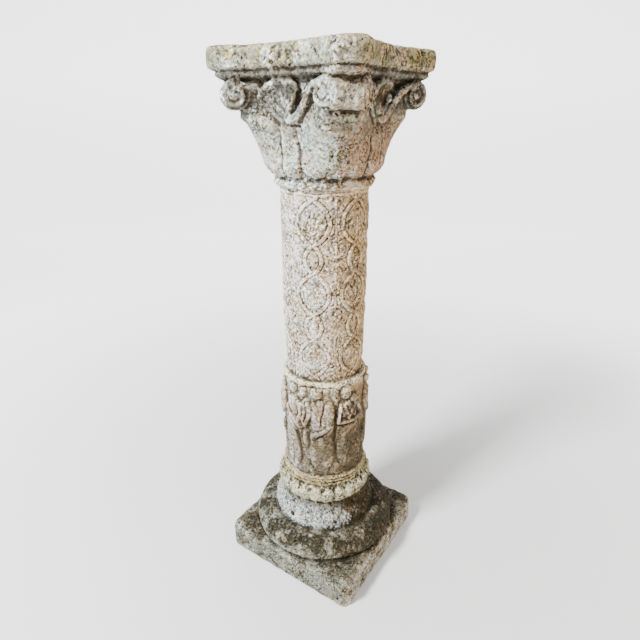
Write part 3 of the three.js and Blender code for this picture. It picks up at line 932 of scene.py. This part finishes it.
def shaft_skin(angle, z):
    """The whole shaft, its head fillet sagging unevenly"""
    sag = 1.8 * np.sin(angle * 3 + 2) * np.sin(angle * 7) * fade(z, trunk_head - 6, trunk_head - 1)
    reach = np.interp(z + sag * fade(z, capital_bed, capital_bed - 3), *zip(*shaft_line))
    reach += frieze(angle, z) + vines(angle, z)
    # the girdle stands proud of the carving's top edge; its own lower edge has crumbled
    ragged = girdle_foot + 2.6 * np.sin(angle * 5 + 1) + 1.8 * np.sin(angle * 13)
    ragged += 1.2 * np.sin(angle * 29)
    band = fade(z, ragged - 1.2, ragged + 1.2) * fade(z, trunk_foot + 1.5, trunk_foot - 1)
    return np.maximum(reach, (girdle_radius + 3) * band)


shaft = roll_sheet("shaft_stone", shaft_columns, shaft_rows, shaft_bed, capital_bed, shaft_skin)
# worn foliage between the carvings: fine ridges that wander over the trunk and the drum
stem_places = points_of(shaft)
up = stem_places[:, 2]
ridges = np.clip(1 - np.abs(grain(stem_places, 9.5, 2)) * 4.5, 0, 1) - 0.3
on_trunk = fade(up, trunk_foot + 2, trunk_foot + 8) * fade(up, trunk_head - 2, trunk_head - 6)
on_drum = fade(up, drum_foot + 4, drum_foot + 10) * fade(up, girdle_foot - 2, girdle_foot - 8)
raised = (0.95 * on_trunk + 0.6 * on_drum) * ridges
sideways_out = outward(shaft) * np.array([1, 1, 0])
move_points(shaft, stem_places + sideways_out * raised[:, None])


def cream_bands(place, axes, facing):
    """The girdle and the fillets have kept a cream skin"""
    girdle = axes[2].step(0.4515, 0.4545) * axes[2].step(0.469, 0.4665)
    return girdle * place.noise(8, 4, 0.6).step(0.7, 0.45) * 0.85


def rosy_bloom(place, axes, facing):
    """Broad faint patches where the casting's own pink-brown shows"""
    return place.noise(36, 4, 0.6).step(0.47, 0.6) * facing[0].step(-0.6, 0.3, 0.15, 0.55)


def tan_foot(place, axes, facing):
    """The thin ring at the drum's foot is tan"""
    return axes[2].step(0.2425, 0.2395) * 0.85


def brown_drum(place, axes, facing):
    """A brown wash that has soaked into the figures' ground, stronger low down, and stronger on
    the side away from the key light as painted shade
    """
    drum = axes[2].step(0.239, 0.246) * axes[2].step(0.46, 0.44)
    low = axes[2].step(0.42, 0.33, 0.42, 1.0)
    shade_share = shade_side(facing).step(-0.95, 0.1, 0.7, 1.0)
    return drum * low * shade_share * place.noise(24, 5, 0.7).step(0.34, 0.5, 0.62, 1.0) * 0.92


shaft_coat = cast_stone(
    "shaft_stone_coat",
    cool=paint(236, 233, 222),
    warm=paint(208, 169, 119),
    deep=paint(78, 64, 42),
    pale=paint(246, 236, 216),
    lichen=[
        (rosy_bloom, paint(216, 186, 146)),
        (brown_drum, paint(84, 73, 50)),
        (cream_bands, paint(238, 230, 192)),
        (tan_foot, paint(158, 140, 96)),
        (ochre_crust, paint(206, 178, 124)),
    ],
    dirt_and_shade=0.95,
)
weather(shaft, dents=0.6, pores=0.9, wear=0.2)
coat(shaft, shaft_coat)
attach(shaft, "root")
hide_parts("shaft")


# The capital: one casting with a neck ring, a bell of four leaning corner leaves that meet at
# a narrow stalk in the middle of each face, scrolls that rise from there to a volute under
# each corner, a fan of petals between them, and a square abacus with hollow sides.
neck_ring_radius = 93
neck_ring_height = 17
neck_ring_bulge = 7
bell_height = 153
bell_foot_radius = 90
face_leaf_radius = 105
corner_leaf_radius = 138
corner_leaf_height = 96
stalk_half = 10.5
volute_radius = 24
volute_reach = 178
volute_rim = 44
volute_splay = math.radians(30)
volute_sunk = -7
scroll_width = 13.5
scroll_depth = 15
scroll_rise = 57
petal_count = 7
petal_length = 58
petal_fan = 110
petal_lean = 15
cover_height = 15
abacus_side = 302
abacus_height = 35
abacus_hollow = 22
abacus_corner = 33
abacus_edge = 10
capital_voxel = 2.18

bell_foot = capital_bed + neck_ring_height
cover_foot = bell_foot + bell_height
abacus_foot = cover_foot + cover_height
abacus_top = abacus_foot + abacus_height
leaf_tip_z = bell_foot + corner_leaf_height

neck_line = round_moulding(
    capital_bed + bed_gap, neck_ring_height, neck_ring_radius, neck_ring_bulge
)


def fold_to_face(angle):
    """Angle in degrees from the middle of the nearest face, 45 at a corner"""
    return np.abs((np.degrees(angle) + 45) % 90 - 45)


# the scrolls' course: along the face, out from the axis and up from their meeting, in mm
scroll_course = np.array([
    (12, 107, -1), (26, 109, 9), (40, 114, 25), (53, 121, 41), (67, 128, 49), (84, 134, 50),
])
meeting_z = cover_foot - scroll_rise


def bell_skin(angle, z):
    """The bell with its leaves; their feet bulge over the neck ring in blunt lobes, and each
    tip curls out in a lip under its volute"""
    waver = 1.5 * np.sin(z / 15 + 3 * angle) + 0.8 * np.sin(z / 6.5 + 11 * angle)
    off = fold_to_face(angle + np.radians(waver))
    lobe = np.abs(np.cos((off - 45) / 34.5 * math.pi * 1.5))
    up = (z - bell_foot) / bell_height - 0.035 * (1 - lobe)
    body = bell_foot_radius + (face_leaf_radius - bell_foot_radius) * np.sin(
        math.pi / 2 * np.clip(up / 0.17, 0, 1)
    )
    share = np.clip((z - bell_foot) / corner_leaf_height, 0, 1)
    lean = share**1.75 * (1 - 0.1 * fade(z, leaf_tip_z + 2, leaf_tip_z + 8))
    reach = body + (corner_leaf_radius - face_leaf_radius) * lean * fade(off, 7, 43)
    on = fade(up, 0.01, 0.07) * fade(up, 0.62, 0.42)
    stalk = np.exp(-(((off - stalk_half) / 1.9) ** 2))
    leaf = np.cos((off - 45) / 34.5 * math.pi / 2) * (off > stalk_half)
    veins = np.exp(-(((off - 41) / 1.5) ** 2)) + 0.6 * np.exp(-(((off - 29) / 1.8) ** 2))
    reach += on * (2.4 * leaf - 2.6 * stalk - 1.5 * veins + 1.2 * (off < stalk_half - 2))
    lip = np.exp(-(((z - leaf_tip_z + 2) / 7) ** 4))
    lip -= 1.1 * np.exp(-(((z - leaf_tip_z + 15) / 4) ** 2))
    reach += 3.6 * lip * fade(off, 36, 40)
    # above the leaves the bell swells out to carry the scrolls, and falls back over them
    along, ahead, rise = scroll_course.T
    turn = np.degrees(np.arctan2(along, ahead - 4))
    carried = np.interp(off, turn, np.hypot(along, ahead - 4))
    line = meeting_z + np.interp(off, turn, rise)
    swell = fade(z, leaf_tip_z - 34, line) * fade(z, line + 7, line + 1)
    reach += np.maximum(carried - reach, 0) * swell
    ragged = z + 1.6 * np.sin(angle * 5 + 1) + 1.1 * np.sin(angle * 13)
    neck = np.interp(ragged, *neck_line) + 0.8 * np.sin(angle * 9 + 2) * np.sin(angle * 4)
    return np.where(z < bell_foot, neck, reach)


bell = roll_sheet("bell", 400, 130, capital_bed + bed_gap, cover_foot + 3, bell_skin)


def square_reach(inset):
    """Radius at each angle of the abacus outline, drawn in by inset mm"""
    half = abacus_side / 2
    straight = half - abacus_corner
    shrink = 1 - inset / half
    along = np.linspace(-straight, straight, 40)
    hollow = abacus_hollow * (1 - (along / straight) ** 2)
    side = np.stack([half - hollow - inset, along * shrink], 1)
    # the corner is half round and half cut across
    bend = np.linspace(0, 1, 14)[1:-1]
    turn = np.stack([np.cos(bend * math.pi / 2), np.sin(bend * math.pi / 2)], 1)
    corner = straight + abacus_corner * (np.stack([1 - bend, bend], 1) * 0.5 + turn * 0.5)
    quarter = np.concatenate([side, corner * shrink])
    angle = np.arctan2(quarter[:, 1], quarter[:, 0])
    reach = np.hypot(quarter[:, 0], quarter[:, 1])
    turns = np.concatenate([angle + k * math.pi / 2 for k in range(-1, 5)])
    return lambda at: np.interp(at, turns, np.tile(reach, 6))


slab_line, cover_line, throat_line = (square_reach(inset) for inset in (0, 12, 25))


def stub_knobs(angle, z):
    """The knobs that the flower has broken down to, -1 to 1"""
    return 0.5 * np.sin(angle * 43 + z / 4) + 0.5 * np.sin(z / 3.3 + angle * 19)


def abacus_skin(angle, z):
    """Slab with worn round edges; at the middle of each side the stub of a lost flower, which
    reaches down over the cover"""
    low = np.clip(abacus_foot + abacus_edge - z, 0, abacus_edge) / abacus_edge
    high = np.clip(z - (abacus_top - abacus_edge), 0, abacus_edge) / abacus_edge
    draw_in = abacus_edge * (1 - np.sqrt(1 - np.maximum(low, high) ** 2)) ** 1.15
    stub = dome(fold_to_face(angle) * 2.25, z - abacus_foot - 5, 24, 24)
    return slab_line(angle) - draw_in + stub * (4.5 + 3.2 * stub_knobs(angle, z))


def cover_skin(angle, z):
    """A hollowed moulding under the slab with a thick roll along its lower edge"""
    up = np.clip((z - cover_foot) / cover_height, 0, 1)
    blend = fade(up, -0.3, 0.5)
    swell = 1 + 0.5 * np.sin(angle * 9 + 1) * np.sin(angle * 23)
    roll = 4.6 * swell * np.sin(np.clip(up / 0.9 - 0.08, 0, 1) * math.pi)
    stub = dome(fold_to_face(angle) * 2.25, z - abacus_foot + 3, 21, 16)
    stub *= 6 + 3 * stub_knobs(angle, z)
    return throat_line(angle) * (1 - blend) + cover_line(angle) * blend + roll + stub


abacus = roll_sheet("abacus", 480, 40, abacus_foot, abacus_top, abacus_skin)
cover = roll_sheet("cover", 480, 24, cover_foot - 3, abacus_foot + 2, cover_skin)

eye_x = volute_reach - volute_radius
eye_z = cover_foot - volute_radius + 2


def volute_half(x):
    """Half the volute's width, wider towards the bell"""
    return volute_rim / 2 + (volute_reach - x) * math.tan(volute_splay)


def make_volute(name):
    """One volute with its diagonal along X: a roll between two splayed faces, each with one
    thick coil round a blunt eye"""
    roll = start_shape(
        bpy.ops.mesh.primitive_grid_add, name, x_subdivisions=110, y_subdivisions=110, size=1
    )
    sheet = points_of(roll) * MM + 0.5
    turn = -sheet[:, 0] * 2 * math.pi
    across = sheet[:, 1] * 2 - 1
    rim_share = 0.38
    share = np.minimum((1 - np.abs(across)) / (1 - rim_share), 1)
    reach = volute_radius * share
    x = eye_x + reach * np.cos(turn)
    wound = (0.25 - turn / (2 * math.pi)) % 1
    relief = np.full(len(x), volute_sunk) * fade(share, 1.0, 0.94)
    for lap in range(2):
        middle = volute_radius * (0.80 - 0.40 * (wound + lap))
        thick = 4.7 - 1.5 * (wound + lap)
        ridge = np.sqrt(np.clip(1 - ((reach - middle) / thick) ** 2, 0, 1))
        wound_ridge = np.where((ridge > 0) & (middle > 4), 3.8 * ridge - 0.6, volute_sunk)
        relief = np.maximum(relief, wound_ridge)
    eye = np.clip(1 - (reach / 6.4) ** 2, 0, 1)
    relief = np.maximum(relief, np.where(eye > 0, 3.6 * np.sqrt(eye) - 0.8, volute_sunk))
    on_face = np.abs(across) > rim_share
    flat_share = np.clip(across / rim_share, -1, 1)
    y = volute_half(x) * flat_share + np.sign(across) * relief * on_face
    # the roll between the faces is dished, with two thin ribs
    dish = ~on_face * (1 - flat_share**2) * 2.2
    ribs = ~on_face * 1.2 * (np.exp(-(((np.abs(flat_share) - 0.5) / 0.12) ** 2)))
    x -= (dish - ribs) * np.cos(turn)
    z = eye_z + (reach - dish + ribs) * np.sin(turn)
    move_points(roll, np.stack([x, y, z], 1))
    edit(
        roll,
        (bpy.ops.mesh.remove_doubles, {"threshold": 2e-5}),
        (bpy.ops.mesh.fill_holes, {"sides": 0}),
        (bpy.ops.mesh.normals_make_consistent, {"inside": False}),
    )
    return roll


def make_strap(name, path, outs, width, deep):
    """A strap through a path of points in mm, its width upright and let back into the stone by
    deep; outs are the directions it faces. Its middle is a little hollow between round edges."""
    strap = start_shape(
        bpy.ops.mesh.primitive_grid_add, name, x_subdivisions=64, y_subdivisions=28, size=1
    )
    sheet = points_of(strap) * MM + 0.5
    tangent = np.gradient(path, axis=0)
    tangent /= np.linalg.norm(tangent, axis=1, keepdims=True)
    steps = np.linspace(0, 1, len(path))
    along, face, ahead = (
        np.stack([np.interp(sheet[:, 0], steps, row[:, axis]) for axis in range(3)], 1)
        for row in (path, outs, tangent)
    )
    rise = np.cross(ahead, face)
    rise /= np.linalg.norm(rise, axis=1, keepdims=True)
    turn = sheet[:, 1] * 2 * math.pi
    out = np.sign(np.cos(turn)) * np.abs(np.cos(turn)) ** 0.5
    tall = np.sign(np.sin(turn)) * np.abs(np.sin(turn)) ** 0.7
    out = np.where(out > 0, out * (6.8 - 1.8 * (1 - tall**2)), out * deep)
    thin = 0.72 + 0.28 * np.sin(np.clip(sheet[:, 0] * 1.3, 0, 1) * math.pi)
    move_points(strap, along + face * out[:, None] + rise * (tall * thin * width / 2)[:, None])
    edit(
        strap,
        (bpy.ops.mesh.remove_doubles, {"threshold": 1e-6}),
        (bpy.ops.mesh.fill_holes, {"sides": 0}),
        (bpy.ops.mesh.normals_make_consistent, {"inside": False}),
    )
    return strap


def smooth_path(points, count=60):
    """A soft curve through a few points"""
    points = np.array(points, float)
    ends = np.concatenate([[2 * points[0] - points[1]], points, [2 * points[-1] - points[-2]]])
    rows = []
    for k in range(len(points) - 1):
        a, b, c, d = ends[k : k + 4]
        for t in np.linspace(0, 1, count // (len(points) - 1), endpoint=k == len(points) - 2):
            bend = (2 * a - 5 * b + 4 * c - d) * t**2 + (3 * b - a - 3 * c + d) * t**3
            rows.append(0.5 * (2 * b + (c - a) * t + bend))
    return np.array(rows)


def turn_about(piece, degrees):
    """Turn the piece about the column's axis"""
    piece.rotation_euler = (0, 0, math.radians(degrees))
    return settle(piece)


def ball(name, place, size, lean=0.0):
    """An oval knob in front of a face; place is out, along and up in mm, size its half widths"""
    knob = start_shape(
        bpy.ops.mesh.primitive_uv_sphere_add, name, segments=20, ring_count=12, radius=1
    )
    round_form = points_of(knob) * MM * np.array(size)
    c, s = math.cos(math.radians(lean)), math.sin(math.radians(lean))
    along = round_form[:, 1] * c - round_form[:, 2] * s
    up = round_form[:, 1] * s + round_form[:, 2] * c
    move_points(knob, np.stack([round_form[:, 0], along, up], 1) + np.array(place))
    return knob


carvings = []
# each scroll starts in a small hook beside the meeting
scroll_points = [(104, -5, meeting_z + 12), (107, 2, meeting_z + 11), (107, 3, meeting_z + 1)]
scroll_points += [(out, along, meeting_z + rise) for along, out, rise in scroll_course.tolist()]
for corner in range(4):
    volute = make_volute(f"volute_{corner}")
    carvings.append(turn_about(volute, 45 + 90 * corner))
for side in range(4):
    for hand in (-1, 1):
        course = smooth_path([(out, hand * along, up) for out, along, up in scroll_points])
        share = np.linspace(0, 1, len(course))
        outs = np.stack([np.ones(len(share)), -hand * 0.26 * share, np.zeros(len(share))], 1)
        # the left one has crumbled into the edge of the fan
        if hand < 0:
            course = course - outs * 3.5
        width = scroll_width * (0.8 + 0.2 * hand)
        strap = make_strap(f"scroll_{side}_{hand}", course, outs, width, scroll_depth)
        carvings.append(turn_about(strap, 90 * side))
    # the fan: a furrowed and hollow shell that spreads from the meeting of the scrolls, its rim
    # curled forward
    shell = start_shape(
        bpy.ops.mesh.primitive_uv_sphere_add, f"shell_{side}", segments=96, ring_count=48, radius=1
    )
    form = points_of(shell) * MM
    spread = np.arctan2(form[:, 1], form[:, 2] + 1.01) / (math.pi / 2)
    chord = 2.01 * np.maximum(np.cos(spread * math.pi / 2), 0.05)
    share = np.clip(np.hypot(form[:, 1], form[:, 2] + 1.01) / chord, 0, 1)
    furrow = np.abs(np.sin((spread + 1) / 2 * petal_count * math.pi))
    swing = np.radians(spread * petal_fan / 2 - petal_lean)
    rim = petal_length * share * (0.94 + 0.06 * furrow)
    dish = 6.5 * np.exp(-(((share - 0.56) / 0.26) ** 2)) * (1 - 0.6 * spread**2)
    lip = 4.4 * np.exp(-(((share - 0.89) / 0.09) ** 2)) * (form[:, 0] > 0)
    thick = np.sign(form[:, 0]) * np.abs(form[:, 0]) ** 0.6 * (5 + 4.5 * furrow * share)
    out = 107 + 9 * share**3 + 7 * np.clip(-spread, 0, 1) * share + thick + lip - dish
    along, up = rim * np.sin(swing) - 2, meeting_z + 4 + rim * np.cos(swing)
    move_points(shell, np.stack([out, along, up], 1))
    edit(shell, (bpy.ops.mesh.normals_make_consistent, {"inside": False}))
    carvings.append(turn_about(shell, 90 * side))
    # a hook at the foot of the fan, and crumpled leaf ends along the scroll on its left
    leaf_ends = [
        ((112, 9, meeting_z + 17), (6, 4.5, 9), -38), ((114, 18, meeting_z + 30), (6, 4, 8), -20),
        ((110, -12, meeting_z + 12), (6, 5, 8), 40), ((121, -52, meeting_z + 47), (6, 5, 8), 70),
    ]
    for k, (place, size, lean) in enumerate(leaf_ends):
        carvings.append(turn_about(ball(f"tip_{side}_{k}", place, size, lean), 90 * side))

capital = join("capital_stone", [bell, abacus, cover, *carvings])
fuse(capital, capital_voxel)
# the slab is chipped and the leaf tips have broken away
carved_places = points_of(capital)
x, y, up = carved_places.T
chips = 3.5 * fade(grain(carved_places + 47, 24, 3), 0.2, 0.55)
chips *= fade(up, abacus_foot, abacus_foot + 6)
at_tip = fade(fold_to_face(np.arctan2(y, x)), 35, 39) * (np.hypot(x, y) > 110)
lost_tip = 3.0 * np.exp(-(((up - leaf_tip_z + 7) / 5) ** 2)) * at_tip
# the neck ring has worn to an uneven rope
ring = fade(up, bell_foot + 6, bell_foot) * fade(up, capital_bed, capital_bed + 5)
rope = 3.8 * ring * np.clip(grain(carved_places + 19, 14, 2) + 0.25, -1, 1)
move_points(capital, carved_places - outward(capital) * (chips + lost_tip + rope)[:, None])


def grey_crust_and_shadow(place, axes, facing):
    """Dark grey growth in rough patches under the abacus, which also paints the abacus's shadow
    there
    """
    low = axes[2].step(1.03, 1.02) * axes[2].step(0.915, 0.985, 0.35, 1.0)
    low = low * axes[2].step(0.9, 0.93)
    cover = axes[2].step(1.004, 1.011) * 0.15
    washed_corner = (axes[0] - axes[1]).step(0.19, 0.23, 1.0, 0.4)
    return low * washed_corner * (place.noise(17, 6, 0.7) + cover).step(0.4, 0.52) * 0.9


def green_film(place, axes, facing):
    """A grey-green film in patches round the upper bell and the scrolls"""
    run = axes[2].step(0.865, 0.9) * axes[2].step(0.985, 0.95)
    return run * place.noise(30, 4, 0.6).step(0.52, 0.64) * 0.5


def warm_lichen(place, axes, facing):
    """Small ochre patches on the slab"""
    slab = axes[2].step(1.026, 1.034) * place.noise(60, 3).step(0.4, 0.54)
    return slab * place.noise(12, 5, 0.64).step(0.5, 0.6) * 0.85


def olive_crust(place, axes, facing):
    """Broad patches of olive-grey crust on the slab, pale stone between them"""
    slab = axes[2].step(1.022, 1.03)
    return slab * place.noise(46, 6, 0.66).step(0.46, 0.52) * 0.7


def rosy_leaf_shade(place, axes, facing):
    """The corner leaves show the casting's pink-brown on the side turned away from the key light,
    partly as painted shade
    """
    side = facing[0] * 0.9 + facing[1] * 0.43 + (place.noise(18, 4) - 0.5) * 0.8
    return side.step(0.2, 0.5) * axes[2].step(0.965, 0.94) * axes[2].step(0.845, 0.87) * 0.6


capital_coat = cast_stone(
    "capital_stone_coat",
    cool=paint(208, 217, 208),
    warm=paint(178, 142, 92),
    deep=paint(58, 46, 30),
    pale=paint(240, 239, 228),
    lichen=[
        (rosy_bloom, paint(196, 176, 150)),
        (rosy_leaf_shade, paint(176, 138, 106)),
        (grey_crust_and_shadow, paint(82, 80, 68)),
        (green_film, paint(136, 150, 116)),
        (olive_crust, paint(118, 117, 80)),
        (warm_lichen, paint(172, 152, 92)),
    ],
    dirt_and_shade=0.95,
)
weather(capital, dents=0.8, pores=1.2, wear=0.6)
# the slab's top stays no higher than the casting's
worn = points_of(capital)
worn[:, 2] = np.minimum(worn[:, 2], abacus_top)
move_points(capital, worn)
coat(capital, capital_coat)
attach(capital, "root")
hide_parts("capital")
